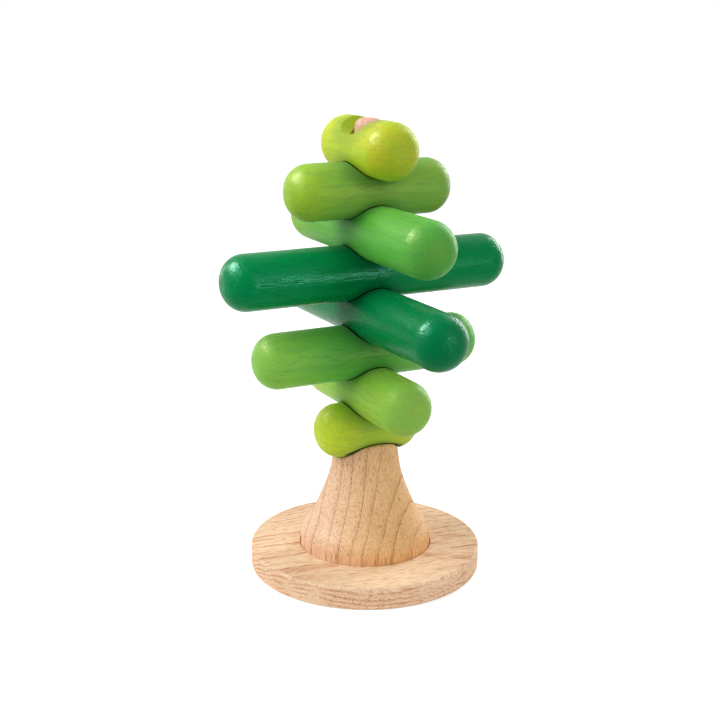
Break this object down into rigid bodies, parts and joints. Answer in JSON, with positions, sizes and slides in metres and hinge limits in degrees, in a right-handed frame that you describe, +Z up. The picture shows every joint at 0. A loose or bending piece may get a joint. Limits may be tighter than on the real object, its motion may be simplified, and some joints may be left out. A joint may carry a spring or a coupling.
{
  "type": "stacking tree toy",
  "caption": "Wooden stacking tree: round stained branches threaded crosswise on a post, above a bell-shaped trunk and a round base.",
  "frame": {"origin": "centre of the base disc's flat underside, on the post's axis", "axes": "+Z up along the post; +X along the odd branches, branch_1, 3, 5 and 7; +Y along the even ones"},
  "size_m": [0.179, 0.188, 0.2661],
  "materials": {
    "disc_wood": "clear satin lacquer on pale wood",
    "trunk_wood": "clear satin lacquer on pale wood",
    "post_wood": "clear satin lacquer on pale wood",
    "stain_1": "satin yellow-green stain, grain showing",
    "stain_2": "satin light green stain, grain showing",
    "stain_3": "satin mid green stain, grain showing",
    "stain_4": "satin dark green stain, grain showing",
    "stain_5": "satin dark green stain, grain showing",
    "stain_6": "satin bright green stain, grain showing",
    "stain_7": "satin olive green stain, grain showing",
    "stain_8": "satin yellow stain, grain showing"
  },
  "bodies": {
    "stand": {"base_disc": "disc_wood", "trunk": "trunk_wood", "post": "post_wood"},
    "branch_1": {"branch_1": "stain_1"},
    "branch_2": {"branch_2": "stain_2"},
    "branch_3": {"branch_3": "stain_3"},
    "branch_4": {"branch_4": "stain_4"},
    "branch_5": {"branch_5": "stain_5"},
    "branch_6": {"branch_6": "stain_6"},
    "branch_7": {"branch_7": "stain_7"},
    "branch_8": {"branch_8": "stain_8"}
  },
  "joints": [
    {"name": "lift_1", "type": "slide", "parent": "stand", "child": "branch_1", "axis": [0, 0, 1], "range_m": [0, 0.2]},
    {"name": "lift_2", "type": "slide", "parent": "branch_1", "child": "branch_2", "axis": [0, 0, 1], "range_m": [0, 0.177]},
    {"name": "lift_3", "type": "slide", "parent": "branch_2", "child": "branch_3", "axis": [0, 0, 1], "range_m": [0, 0.154]},
    {"name": "lift_4", "type": "slide", "parent": "branch_3", "child": "branch_4", "axis": [0, 0, 1], "range_m": [0, 0.13]},
    {"name": "lift_5", "type": "slide", "parent": "branch_4", "child": "branch_5", "axis": [0, 0, 1], "range_m": [0, 0.107]},
    {"name": "lift_6", "type": "slide", "parent": "branch_5", "child": "branch_6", "axis": [0, 0, 1], "range_m": [0, 0.084]},
    {"name": "lift_7", "type": "slide", "parent": "branch_6", "child": "branch_7", "axis": [0, 0, 1], "range_m": [0, 0.06]},
    {"name": "lift_8", "type": "slide", "parent": "branch_7", "child": "branch_8", "axis": [0, 0, 1], "range_m": [0, 0.037]}
  ]
}
